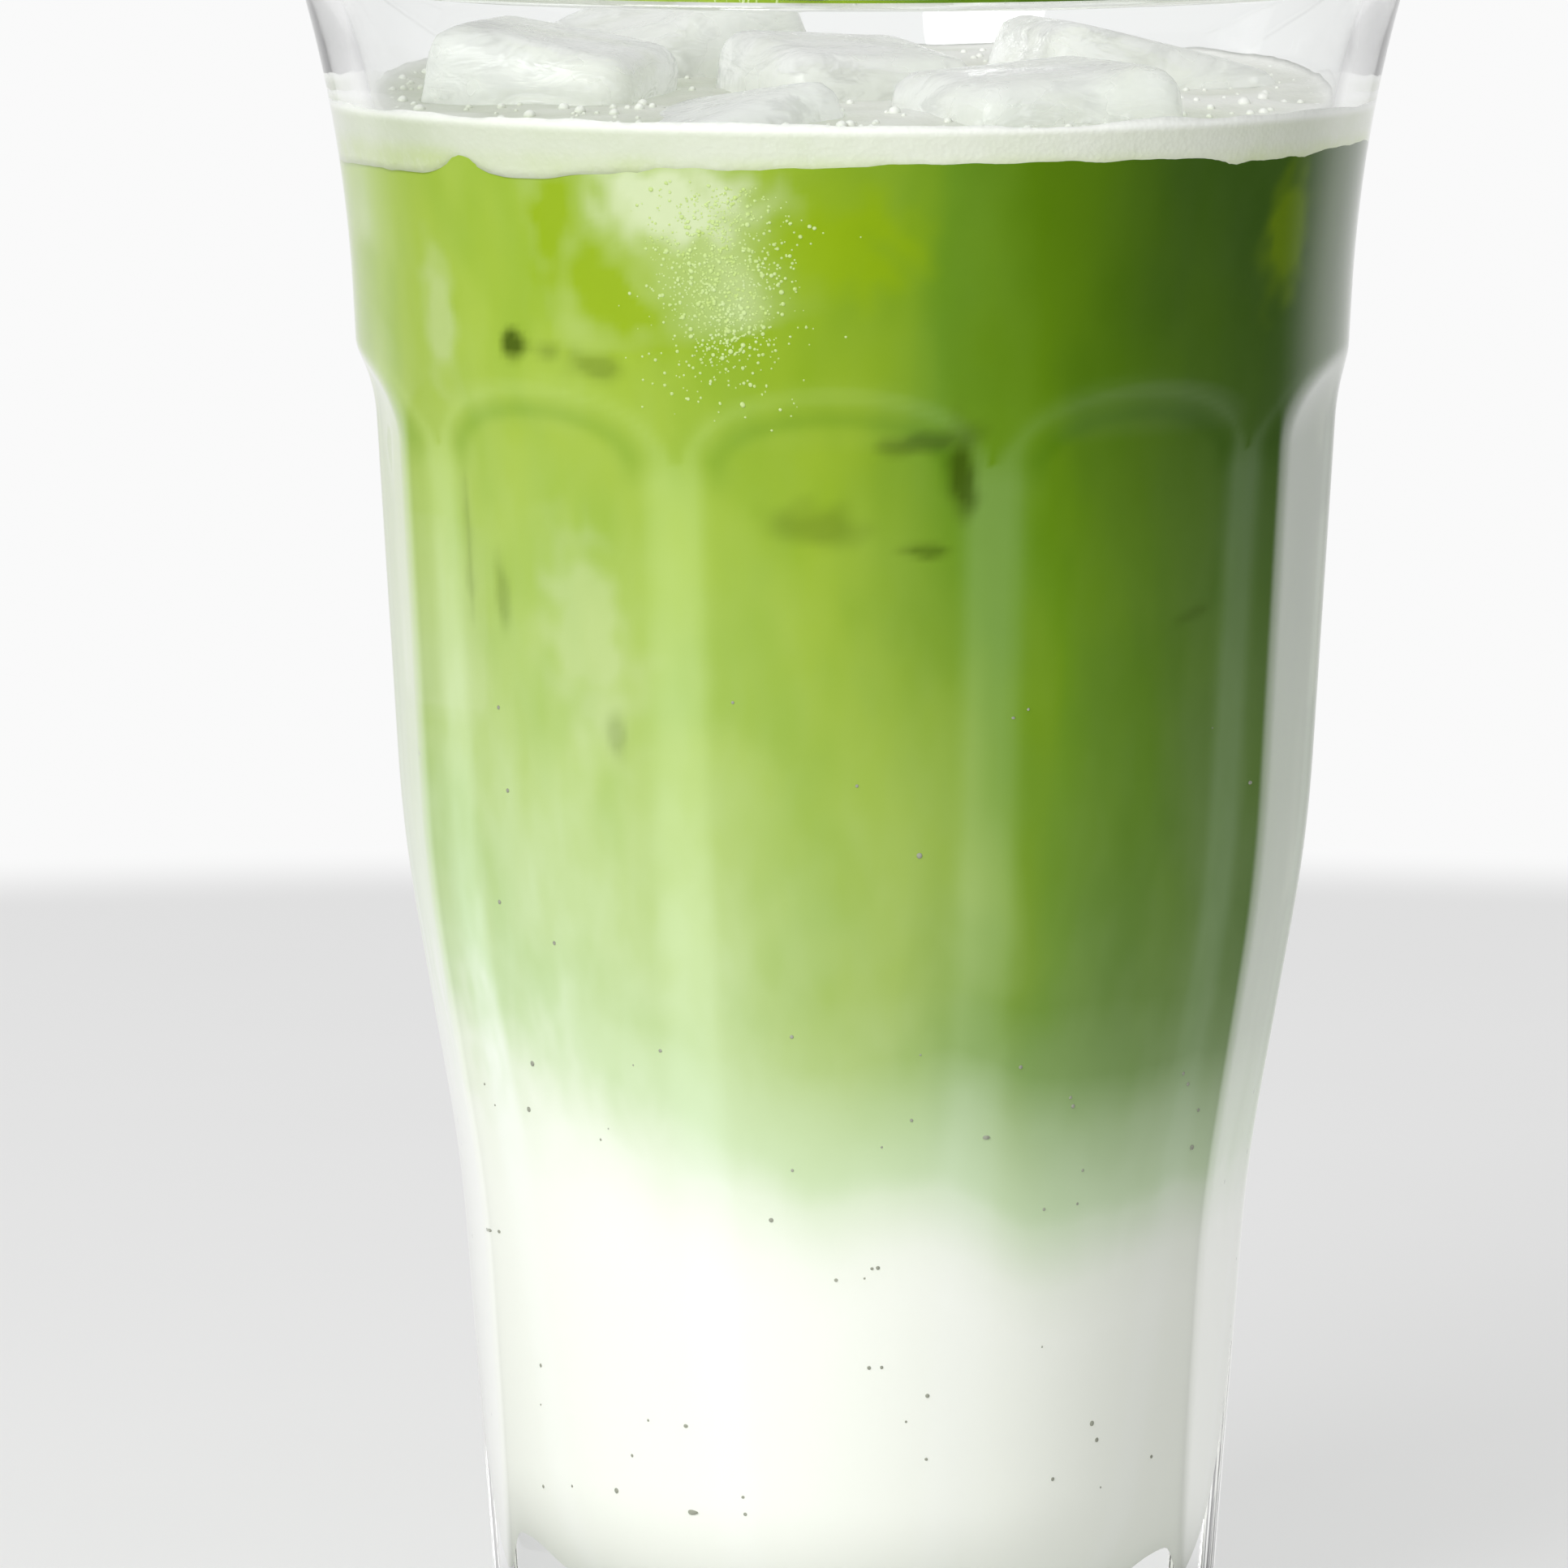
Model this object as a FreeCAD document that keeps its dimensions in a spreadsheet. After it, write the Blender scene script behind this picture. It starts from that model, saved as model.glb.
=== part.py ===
import FreeCAD, Part
import os
from math import cos, radians, sin, tan
from types import SimpleNamespace

import Sketcher

os.makedirs("parts", exist_ok=True)

# Iced green tea over milk in a tall pressed-glass tumbler with nine arched facets.
# Origin at the centre of the foot, +Z up, -Y towards the front. Millimetres and degrees.

SIZES = {
    # outside of the tumbler, from the rim down: each corner of its outline by the drop and the
    # narrowing from the corner above; from the spring of the arches down, measured at the facets
    "glass_height": 150.0,
    "rim_radius": 48.1,
    "flare_drop": 14.8,
    "flare_narrowing": 4.3,
    "flare_sweep": 120.0,
    "band_drop": 17.7,
    "band_narrowing": 0.9,
    "arch_drop": 12.0,
    "arch_depth": 2.85,
    "arch_sweep": 20.0,
    "arch_rise": 8.4,
    "arch_curl": 12.0,
    "upper_drop": 32.8,
    "upper_narrowing": 1.85,
    "waist_drop": 28.7,
    "waist_narrowing": 4.85,
    "waist_sweep": 130.0,
    "foot_narrowing": 3.1,
    "foot_round": 2.5,
    # the pressed facets: how many, half the angle of the ridge left between two, and their turn
    "facet_count": 9,
    "ridge_half": 1.3,
    "facet_turn": -12.7,
    # the glass itself, and the recess under the foot
    "lip_wall": 2.8,
    "band_wall": 3.1,
    "facet_wall": 3.0,
    "foot_wall": 7.0,
    "floor_thickness": 8.5,
    "floor_round": 14.0,
    "ring_width": 5.1,
    "recess_depth": 1.4,
    # the drink: the free height under the rim, and the layers
    "freeboard": 12.4,
    "froth_depth": 3.6,
    "milk_depth": 39.5,
    # the ice that breaks the surface
    "ice_gap": 3.2,
    "ice_round": 2.6,
}


class Size:
    """A size that keeps its number together with the sheet expression that gives it."""

    def __init__(self, number, text):
        self.number, self.text = number, text

    def _join(self, other, sign, number):
        text = other.text if isinstance(other, Size) else str(other)
        return Size(number, f"({self.text} {sign} {text})")

    def __add__(self, other):
        return self._join(other, "+", self.number + amount(other))

    def __sub__(self, other):
        return self._join(other, "-", self.number - amount(other))

    def __mul__(self, other):
        return self._join(other, "*", self.number * amount(other))

    def __truediv__(self, other):
        return self._join(other, "/", self.number / amount(other))


def amount(value):
    return value.number if isinstance(value, Size) else value


def cosine(angle):
    return Size(cos(radians(angle.number)), f"cos({angle.text})")


ZERO = Size(0.0, "0")

doc = FreeCAD.newDocument("GreenTea")
sheet = doc.addObject("Spreadsheet::Sheet", "Sizes")
for row, (alias, value) in enumerate(SIZES.items(), 1):
    sheet.set(f"A{row}", alias)
    sheet.set(f"B{row}", str(value))
    sheet.setAlias(f"B{row}", alias)
doc.recompute()
s = SimpleNamespace(**{alias: Size(value, f"Sizes.{alias}") for alias, value in SIZES.items()})


# ---------------------------------------------------------------- helpers

def bind(thing, prop, value):
    """Sets a property to a size and ties it to the sheet."""
    setattr(thing, prop, value.number)
    thing.setExpression(prop, value.text)


def new_body(name):
    body = doc.addObject("PartDesign::Body", name)
    body.Label = name
    return body


def origin_part(body, role):
    return next(f for f in body.Origin.OriginFeatures if f.Role == role)


def new_sketch(body, name, plane):
    sketch = body.newObject("Sketcher::SketchObject", name)
    sketch.AttachmentSupport = [(origin_part(body, plane), "")]
    sketch.MapMode = "FlatFace"
    return sketch


def pin(sketch, geometry, place, across, up):
    """Holds a point at sheet-driven distances from the sketch origin."""
    for kind, axis, value in (("DistanceX", -2, across), ("DistanceY", -1, up)):
        if value is ZERO:
            sketch.addConstraint(Sketcher.Constraint("PointOnObject", geometry, place, axis))
        else:
            index = sketch.addConstraint(
                Sketcher.Constraint(kind, -1, 1, geometry, place, value.number))
            sketch.setExpression(f"Constraints[{index}]", value.text)


def outline(sketch, corners):
    """A closed outline through (across, up, rounding) corners, with tangent arcs at the rounded ones."""
    points = [FreeCAD.Vector(across.number, up.number, 0) for across, up, _ in corners]
    leave, arrive, arcs = [], [], {}
    for i, (here, corner) in enumerate(zip(points, corners)):
        back = (points[i - 1] - here).normalize()
        ahead = (points[(i + 1) % len(points)] - here).normalize()
        if corner[2] is None:
            arrive.append(here)
            leave.append(here)
            continue
        half, rounding = back.getAngle(ahead) / 2, corner[2].number
        reach = rounding / tan(half)
        arrive.append(here + back * reach)
        leave.append(here + ahead * reach)
        centre = here + (back + ahead).normalize() * (rounding / sin(half))
        middle = centre + (here - centre).normalize() * rounding
        arcs[i] = sketch.addGeometry(Part.Arc(arrive[i], middle, leave[i]))
    sides = [sketch.addGeometry(Part.LineSegment(leave[i], arrive[(i + 1) % len(points)]))
             for i in range(len(points))]
    for i, (across, up, rounding) in enumerate(corners):
        if rounding is None:
            sketch.addConstraint(Sketcher.Constraint("Coincident", sides[i - 1], 2, sides[i], 1))
            pin(sketch, sides[i], 1, across, up)
            continue
        arc = arcs[i]
        starts = sketch.getPoint(arc, 1).distanceToPoint(arrive[i]) < 1e-6
        near, far = (1, 2) if starts else (2, 1)
        sketch.addConstraint(Sketcher.Constraint("Tangent", sides[i - 1], 2, arc, near))
        sketch.addConstraint(Sketcher.Constraint("Tangent", arc, far, sides[i], 1))
        index = sketch.addConstraint(Sketcher.Constraint("Radius", arc, rounding.number))
        sketch.setExpression(f"Constraints[{index}]", rounding.text)
        tip = sketch.addGeometry(Part.Point(points[i]), True)
        sketch.addConstraint(Sketcher.Constraint("PointOnObject", tip, 1, sides[i - 1]))
        sketch.addConstraint(Sketcher.Constraint("PointOnObject", tip, 1, sides[i]))
        pin(sketch, tip, 1, across, up)


def spin(body, kind, name, corners):
    """Turns an outline drawn on the XZ plane once round the upright axis."""
    sketch = new_sketch(body, f"{name}Outline", "XZ_Plane")
    outline(sketch, corners)
    feature = body.newObject(f"PartDesign::{kind}", name)
    feature.Profile = sketch
    feature.ReferenceAxis = (sketch, ["V_Axis"])
    feature.Angle = 360
    return feature


# ---------------------------------------------------------------- the tumbler

flare_height = s.glass_height - s.flare_drop
shoulder_height = flare_height - s.band_drop
spring_height = shoulder_height - s.arch_drop
knee_height = spring_height - s.upper_drop
waist_height = knee_height - s.waist_drop

flare_radius = s.rim_radius - s.flare_narrowing
shoulder_radius = flare_radius - s.band_narrowing
spring_flat = shoulder_radius - s.arch_depth
knee_flat = spring_flat - s.upper_narrowing
waist_flat = knee_flat - s.waist_narrowing
foot_flat = waist_flat - s.foot_narrowing

# a facet's distance from the axis as a share of the round radius at the ridges beside it
ridge = cosine(Size(180, "180") / s.facet_count - s.ridge_half)
recess_edge = foot_flat - s.ring_width

blank_corners = [
    (ZERO, s.recess_depth, None),
    (recess_edge - s.recess_depth * 2, s.recess_depth, s.recess_depth),
    (recess_edge, ZERO, s.recess_depth),
    (foot_flat / ridge, ZERO, s.foot_round),
    (waist_flat / ridge, waist_height, s.waist_sweep),
    (knee_flat / ridge, knee_height, s.waist_sweep),
    (spring_flat / ridge, spring_height, s.arch_sweep),
    (shoulder_radius, shoulder_height, s.arch_sweep),
    (flare_radius, flare_height, s.flare_sweep),
    (s.rim_radius, s.glass_height, None),
    (ZERO, s.glass_height, None),
]

inner_radius = spring_flat - s.facet_wall
cavity_corners = [
    (ZERO, s.floor_thickness, None),
    (foot_flat - s.foot_wall, s.floor_thickness, s.floor_round),
    (knee_flat - s.facet_wall, knee_height, s.flare_sweep),
    (inner_radius, spring_height, s.flare_sweep),
    (flare_radius - s.band_wall, flare_height, s.flare_sweep),
    (s.rim_radius - s.lip_wall, s.glass_height, None),
    (ZERO, s.glass_height, None),
]

# what one facet takes away: all that lies outside it; it runs on over the spring with the same
# taper, then curls outwards and leaves the round body along its arch
curl_height = spring_height + s.arch_rise
curl_flat = spring_flat + s.arch_rise * s.upper_narrowing / s.upper_drop
clear = s.rim_radius + s.arch_sweep
facet_corners = [
    (foot_flat, ZERO - s.foot_round, None),
    (foot_flat, ZERO, None),
    (waist_flat, waist_height, s.waist_sweep),
    (knee_flat, knee_height, s.waist_sweep),
    (curl_flat, curl_height, s.arch_curl),
    (curl_flat + s.arch_drop * 1.2, curl_height + s.arch_drop * 1.2, None),
    (clear, curl_height + s.arch_drop * 1.2, None),
    (clear, ZERO - s.foot_round, None),
]

glass = new_body("glass")
spin(glass, "Revolution", "Blank", blank_corners)
spin(glass, "Groove", "Cavity", cavity_corners)

facet_sketch = new_sketch(glass, "FacetOutline", "XZ_Plane")
outline(facet_sketch, facet_corners)
facet = glass.newObject("PartDesign::Pocket", "Facet")
facet.Profile = facet_sketch
facet.Type = "ThroughAll"
facet.Midplane = True
facets = glass.newObject("PartDesign::PolarPattern", "Facets")
facets.Originals = [facet]
facets.Axis = (origin_part(glass, "Z_Axis"), [""])
facets.Angle = 360
bind(facets, "Occurrences", s.facet_count)
glass.Tip = facets
doc.recompute()

top = max(range(len(facets.Shape.Faces)), key=lambda i: facets.Shape.Faces[i].CenterOfMass.z)
lip = glass.newObject("PartDesign::Fillet", "Lip")
lip.Base = (facets, [f"Face{top + 1}"])
bind(lip, "Radius", s.lip_wall * 0.46)
glass.Tip = lip
glass.setExpression("Placement.Rotation.Angle", s.facet_turn.text)


# ---------------------------------------------------------------- the ice that shows

froth_top = s.glass_height - s.freeboard
tea_top = froth_top - s.froth_depth
milk_top = s.floor_thickness + s.milk_depth

ICE_PITCH = 0.6     # a cube with the gap beside it, against the inner radius at the spring of the arches

# where each cube's middle lies: across and back as shares of that radius, and its height
# above the tea as a share of its side; then its turn, pitch and roll, and its side against the usual
ICE = {
    "ice_back": (-0.404, 0.577, 0.02, 33, -25, 2, 1.05),
    "ice_left": (-0.715, -0.117, -0.01, 74, 0, 10, 0.95),
    "ice_front": (-0.290, -0.702, -0.25, 52, -10, -10, 0.95),
    "ice_right": (0.618, 0.238, -0.17, 12, 16, -2, 1.16),
    "ice_centre": (-0.030, -0.054, -0.07, 24, 4, 5, 0.95),
    "ice_side": (0.415, -0.593, -0.12, 25, -4, -1, 1.0),
}


def ice_cube(name, across, back, height, turn, pitch, roll, share):
    """A rounded cube that floats at the surface, partly out of it."""
    body = new_body(name)
    sketch = new_sketch(body, f"{name}_square", "XY_Plane")
    side = (inner_radius * ICE_PITCH - s.ice_gap) * share
    half = side / 2
    low = ZERO - half
    outline(sketch, [(low, low, None), (half, low, None), (half, half, None), (low, half, None)])
    block = body.newObject("PartDesign::Pad", f"{name}_block")
    block.Profile = sketch
    block.Midplane = True
    bind(block, "Length", side)
    doc.recompute()
    melted = body.newObject("PartDesign::Fillet", f"{name}_melted")
    melted.Base = (block, [f"Edge{i + 1}" for i in range(len(block.Shape.Edges))])
    bind(melted, "Radius", s.ice_round)
    body.Tip = melted
    middle = (inner_radius * across, inner_radius * back, tea_top + side * height)
    body.Placement = FreeCAD.Placement(FreeCAD.Vector(*(v.number for v in middle)),
                                       FreeCAD.Rotation(turn, pitch, roll))
    for axis, value in zip("xyz", middle):
        body.setExpression(f"Placement.Base.{axis}", value.text)
    return body


ice = [ice_cube(name, *row) for name, row in ICE.items()]


# ---------------------------------------------------------------- the drink

hollow = new_body("hollow")
spin(hollow, "Revolution", "Hollow", cavity_corners)

all_ice = doc.addObject("Part::Compound", "all_ice")
all_ice.Links = ice


def layer(name, bottom, height, ice_in_it):
    """The part of the hollow between two levels, cut round the ice."""
    disc = doc.addObject("Part::Cylinder", f"{name}_disc")
    bind(disc, "Radius", clear)
    bind(disc, "Height", height)
    disc.Placement.Base = FreeCAD.Vector(0, 0, bottom.number)
    disc.setExpression("Placement.Base.z", bottom.text)
    fill = doc.addObject("Part::Common", f"{name}_fill")
    fill.Base, fill.Tool = hollow, disc
    if ice_in_it:
        whole, fill = fill, doc.addObject("Part::Cut", name)
        fill.Base, fill.Tool = whole, all_ice
    fill.Label = name
    return fill


milk = layer("milk", s.floor_thickness, s.milk_depth, False)
tea = layer("green_tea", milk_top, tea_top - milk_top, True)
froth = layer("froth", tea_top, s.froth_depth, True)


# ---------------------------------------------------------------- check and write

doc.recompute()
for thing in doc.Objects:
    if {"Invalid", "Error"} & set(thing.State):
        raise RuntimeError(f"{thing.Name} did not build: {thing.State}")
for part in [glass, milk, tea, froth, *ice]:
    shape = part.Shape
    if shape.isNull() or not shape.isValid() or len(shape.Solids) != 1:
        raise RuntimeError(f"{part.Label} is not one valid solid")
    shape.exportStep(f"parts/{part.Label}.step")
    print(part.Label, round(shape.Volume / 1000, 2), "cm3")
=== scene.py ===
"""Iced green tea over milk in a faceted tumbler: the looks round its fixed model."""

import math

import bpy
import numpy as np
from bpy.props import FloatProperty, FloatVectorProperty, IntProperty, PointerProperty
from bpy.types import Operator, Panel, PropertyGroup
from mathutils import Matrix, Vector, noise
from mathutils.bvhtree import BVHTree


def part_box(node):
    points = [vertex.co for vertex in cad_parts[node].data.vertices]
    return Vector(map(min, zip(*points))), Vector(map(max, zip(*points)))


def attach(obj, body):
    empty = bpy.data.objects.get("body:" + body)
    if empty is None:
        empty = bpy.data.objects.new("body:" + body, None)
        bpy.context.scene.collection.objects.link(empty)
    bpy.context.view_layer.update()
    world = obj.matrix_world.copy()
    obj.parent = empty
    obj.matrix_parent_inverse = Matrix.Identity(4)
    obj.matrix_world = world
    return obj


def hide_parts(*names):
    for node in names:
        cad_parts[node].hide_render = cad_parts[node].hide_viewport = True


bl_info = {
    "name": "Iced green tea",
    "version": (1, 0, 0),
    "blender": (4, 5, 0),
    "location": "View3D > Sidebar > Green Tea",
    "description": "Builds the looks of an iced green tea over milk in its faceted tumbler",
    "category": "Add Mesh",
}

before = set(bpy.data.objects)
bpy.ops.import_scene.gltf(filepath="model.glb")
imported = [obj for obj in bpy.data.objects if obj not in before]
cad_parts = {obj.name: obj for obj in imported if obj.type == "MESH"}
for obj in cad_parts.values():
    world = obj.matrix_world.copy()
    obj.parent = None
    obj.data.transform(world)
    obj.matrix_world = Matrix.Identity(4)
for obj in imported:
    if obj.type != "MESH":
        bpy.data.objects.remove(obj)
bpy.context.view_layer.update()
MM = 0.001
WHITE = (1, 1, 1, 1)
ICE_NODES = sorted(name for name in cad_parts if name.startswith("ice_"))
GLASS_HIGH = Vector(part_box("glass")[1])
TEA_LOW, TEA_HIGH = (Vector(corner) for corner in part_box("green_tea"))
FROTH_LOW, FROTH_HIGH = (Vector(corner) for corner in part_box("froth"))
MILK_LOW = Vector(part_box("milk")[0])


# ---------------- settings

def length(name, description, millimetres):
    return FloatProperty(name=name, description=description, default=millimetres * MM,
                         min=0.0, subtype="DISTANCE", unit="LENGTH", precision=5)


def colour(name, description, red, green, blue):
    return FloatVectorProperty(name=name, description=description, default=(red, green, blue),
                               size=3, min=0.0, max=1.0, subtype="COLOR")


def count(name, description, value):
    return IntProperty(name=name, description=description, default=value, min=0)


def angle(name, description, degrees):
    return FloatProperty(name=name, description=description, default=math.radians(degrees),
                         subtype="ANGLE")


def share(name, description, value, top=1.0):
    return FloatProperty(name=name, description=description, default=value, min=0.0, max=top,
                         subtype="FACTOR")


class TumblerSettings(PropertyGroup):
    rim_radius: length("Rim radius", "From the axis to the rim", 48.1)
    flare_drop: length("Flare drop", "From the rim down to the flare's corner", 14.8)
    flare_narrowing: length("Flare narrowing", "How much narrower the glass is at that corner", 4.3)
    flare_sweep: length("Flare sweep", "Radius of the flare's curve", 120)
    band_drop: length("Band drop", "Height of the plain band above the arches", 17.7)
    band_narrowing: length("Band narrowing", "Taper of the plain band", 0.9)
    arch_drop: length("Arch drop", "From the shoulder down to the spring of the arches", 12)
    arch_depth: length("Arch depth", "How deep a facet is pressed in at the spring", 2.85)
    arch_sweep: length("Arch sweep", "Radius of the ridges' curve at the arches", 20)
    arch_rise: length("Arch rise", "How far a facet runs on above the spring", 8.4)
    arch_curl: length("Arch curl", "Radius by which a facet curls outwards at its top", 12)
    upper_drop: length("Upper drop", "Height of the facets' upper stretch", 32.8)
    upper_narrowing: length("Upper narrowing", "Taper of the upper stretch", 1.85)
    waist_drop: length("Waist drop", "Height of the step in the middle", 28.7)
    waist_narrowing: length("Waist narrowing", "Taper of the step in the middle", 4.85)
    waist_sweep: length("Waist sweep", "Radius of the curves above and below the step", 130)
    foot_narrowing: length("Foot narrowing", "Taper from the step to the foot", 3.1)
    foot_round: length("Foot rounding", "Rounding at the foot's edge", 2.5)
    facets: IntProperty(name="Facets", description="Pressed facets round the glass", default=9, min=3)
    ridge_half: angle("Ridge half angle", "Half the width of a ridge", 1.3)
    turn: angle("Turn", "Turn of the facets about the axis", -12.7)
    lip_wall: length("Lip wall", "Thickness of the lip", 2.8)
    band_wall: length("Band wall", "Thickness of the plain band", 3.1)
    facet_wall: length("Facet wall", "Thickness at the middle of a facet", 3.0)
    foot_wall: length("Foot wall", "Thickness at the foot's side", 7.0)
    floor_round: length("Floor rounding", "Rounding between wall and floor inside", 14)
    ring_width: length("Ring width", "Width of the standing ring", 5.1)
    recess_depth: length("Recess depth", "Depth of the recess under the foot", 1.4)
    polish: length("Fire polish", "Softening of the pressed edges", 0.9)
    tint: colour("Tint", "Colour of the glass", 0.992, 1.0, 0.995)


class DrinkSettings(PropertyGroup):
    bite: length("Bite", "How far the drink reaches into the wall", 0.2)
    rise: length("Rise", "How far the tea reaches up under the froth's edge", 1.6)
    milk: colour("Milk", "Colour of the milk", 0.92, 0.925, 0.86)
    cloud: colour("Cloud", "Colour of milk thinned with tea", 0.68, 0.80, 0.57)
    # Deep, green, fresh and pale run from the side away from the lamps to the lit side: the spread between
    # them is painted shade and painted light on the tea.
    deep: colour("Deep tea", "Tea where it is deepest", 0.036, 0.090, 0.0)
    green: colour("Green tea", "Tea of middling depth", 0.128, 0.258, 0.0)
    fresh: colour("Fresh tea", "Tea that light shines through", 0.262, 0.390, 0.0)
    pale: colour("Pale tea", "Tea at its palest side", 0.315, 0.445, 0.0)
    turn_lean: length("Turn lean", "How much higher tea turns to milk on the pale side", 4.6)
    turn_dip: length("Turn dip", "How much lower it does so on the deep side", 2.6)
    froth: colour("Froth", "Colour of the froth", 0.77, 0.79, 0.69)
    froth_relief: length("Froth relief", "Unevenness of the froth", 0.9)
    bubbles: count("Bubbles", "Bubbles on the froth", 420)
    speck: colour("Speck", "Colour of the tea dust in the milk", 0.40, 0.41, 0.33)
    specks: count("Specks", "Grains of tea dust at the wall", 130)
    seed: count("Seed", "Seed of all that is scattered", 7)


class IceSettings(PropertyGroup):
    melt: length("Melt", "Unevenness that melting leaves", 0.35)
    side: length("Side", "Side of a sunk cube", 19)
    sunk: count("Sunk cubes", "Cubes under the surface", 11)
    clearness: length("Clearness", "Depth of tea through which a cube shows", 2.6)
    body: colour("Ice", "Colour of the ice", 0.97, 0.975, 0.965)
    beads: count("Beads", "Fine beads at the wall by the front cube", 1300)


class StageSettings(PropertyGroup):
    floor: colour("Floor", "Colour of the floor", 0.82, 0.82, 0.82)
    sky: share("Surround", "Strength of the soft surround", 0.66, 2.0)
    backdrop: share("Backdrop", "Brightness of the white backdrop", 0.965)
    far_floor: share("Far floor", "Brightness into which the floor fades", 0.955)
    floor_glow: share("Floor glow", "Share of the floor's tone that is an even glow", 0.4)
    fade_start: length("Fade start", "How far out the floor begins to fade", 455)
    fade_end: length("Fade end", "How far out the floor has become the backdrop", 505)
    key: FloatProperty(name="Key", description="Power of the large lamp", default=4.0, unit="POWER")
    fill: FloatProperty(name="Fill", description="Power of the low lamp in front", default=1.1,
                        unit="POWER")
    distance: length("Camera distance", "From the axis to the camera, level", 830)
    height: length("Camera height", "Camera above the floor", 192.2)
    aside: length("Camera aside", "Camera left of the axis", 5.9)
    pitch: angle("Pitch", "Camera's downward tilt", 7.84)
    lens: FloatProperty(name="Lens", description="Focal length on a 36 mm sensor", default=221.2,
                        unit="CAMERA")


# ---------------- mesh helpers

def rounded_path(corners, step):
    """Points along a path through (across, up, rounding) corners, no further apart than step."""
    points = [np.array(corner[:2], float) for corner in corners]
    marks = [points[0]]
    for before, here, after, corner in zip(points, points[1:], points[2:], corners[1:]):
        rounding = corner[2]
        if not rounding:
            marks.append(here)
            continue
        back, ahead = before - here, after - here
        back, ahead = back / np.linalg.norm(back), ahead / np.linalg.norm(ahead)
        half = math.acos(np.clip(back @ ahead, -1, 1)) / 2
        centre = here + (back + ahead) / np.linalg.norm(back + ahead) * (rounding / math.sin(half))
        start, end = here + back * rounding / math.tan(half), here + ahead * rounding / math.tan(half)
        first = math.atan2(*(start - centre)[::-1])
        sweep = (math.atan2(*(end - centre)[::-1]) - first + math.pi) % (2 * math.pi) - math.pi
        count = max(3, math.ceil(abs(sweep) / 0.14), math.ceil(abs(sweep) * rounding / step))
        for k in range(count + 1):
            angle = first + sweep * k / count
            marks.append(centre + rounding * np.array([math.cos(angle), math.sin(angle)]))
    marks.append(points[-1])
    path = [marks[0]]
    for start, end in zip(marks, marks[1:]):
        gap = np.linalg.norm(end - start)
        if gap < 1e-7:
            continue
        pieces = max(1, math.ceil(gap / step))
        path += [start + (end - start) * k / pieces for k in range(1, pieces + 1)]
    return np.array(path)


def mesh_object(name, vertices, faces):
    mesh = bpy.data.meshes.new(name)
    mesh.from_pydata([tuple(v) for v in vertices], [], faces)
    mesh.validate()
    mesh.polygons.foreach_set("use_smooth", [True] * len(mesh.polygons))
    thing = bpy.data.objects.new(name, mesh)
    bpy.context.collection.objects.link(thing)
    return thing


def revolved(name, rings, sharp_rings=()):
    """A closed surface from rings of points; the first and last rings close on their middles."""
    rows, columns = rings.shape[:2]
    vertices = rings.reshape(-1, 3).tolist()
    vertices += [rings[0].mean(0).tolist(), rings[-1].mean(0).tolist()]
    bottom, top = rows * columns, rows * columns + 1
    faces = []
    for i in range(rows - 1):
        for j in range(columns):
            k = (j + 1) % columns
            faces.append((i * columns + j, i * columns + k, (i + 1) * columns + k, (i + 1) * columns + j))
    for j in range(columns):
        k = (j + 1) % columns
        faces.append((k, j, bottom))
        faces.append(((rows - 1) * columns + j, (rows - 1) * columns + k, top))
    thing = mesh_object(name, vertices, faces)
    if len(sharp_rings):
        edges = {tuple(sorted(e.vertices)): e for e in thing.data.edges}
        for i in sharp_rings:
            for j in range(columns):
                a, b = i * columns + j, i * columns + (j + 1) % columns
                edges[(min(a, b), max(a, b))].use_edge_sharp = True
    return thing


def blended_min(a, b, width):
    """The smaller of two lengths, with the corner between them rounded off."""
    h = np.clip(width - np.abs(a - b), 0, None) / width
    return np.minimum(a, b) - h * h * width / 4


def small_ball():
    """Corners and faces of a ball of 80 triangles."""
    t = (1 + 5 ** 0.5) / 2
    base = np.array([(-1, t, 0), (1, t, 0), (-1, -t, 0), (1, -t, 0), (0, -1, t), (0, 1, t), (0, -1, -t),
                     (0, 1, -t), (t, 0, -1), (t, 0, 1), (-t, 0, -1), (-t, 0, 1)])
    points, middle, faces = (base / np.linalg.norm(base[0])).tolist(), {}, []

    def halfway(a, b):
        key = (min(a, b), max(a, b))
        if key not in middle:
            point = np.array(points[a]) + np.array(points[b])
            middle[key] = len(points)
            points.append((point / np.linalg.norm(point)).tolist())
        return middle[key]

    for a, b, c in ((0, 11, 5), (0, 5, 1), (0, 1, 7), (0, 7, 10), (0, 10, 11), (1, 5, 9), (5, 11, 4),
                    (11, 10, 2), (10, 7, 6), (7, 1, 8), (3, 9, 4), (3, 4, 2), (3, 2, 6), (3, 6, 8), (3, 8, 9),
                    (4, 9, 5), (2, 4, 11), (6, 2, 10), (8, 6, 7), (9, 8, 1)):
        ab, bc, ca = halfway(a, b), halfway(b, c), halfway(c, a)
        faces += [(a, ab, ca), (b, bc, ab), (c, ca, bc), (ab, bc, ca)]
    return np.array(points), faces


def joined(parts):
    """The corners and faces of several parts as those of one."""
    vertices, faces = [], []
    for points, part_faces in parts:
        start = len(vertices)
        vertices += [tuple(v) for v in points]
        faces += [[start + k for k in face] for face in part_faces]
    return vertices, faces


def joined_balls(name, balls):
    """Small balls as one mesh: the middle and radius of each, and the way and share in which it is flat."""
    base, faces = small_ball()
    parts = []
    for centre, radius, *flat in balls:
        ball = base * radius
        if flat:
            way, flatness = flat
            ball = ball - np.outer(ball @ way, way) * (1 - flatness)
        parts.append((ball + centre, faces))
    return mesh_object(name, *joined(parts))


def settle(thing):
    """Turns a piece's modifiers into its mesh."""
    mesh = bpy.data.meshes.new_from_object(thing.evaluated_get(bpy.context.evaluated_depsgraph_get()))
    thing.modifiers.clear()
    old, thing.data = thing.data, mesh
    bpy.data.meshes.remove(old)


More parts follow.
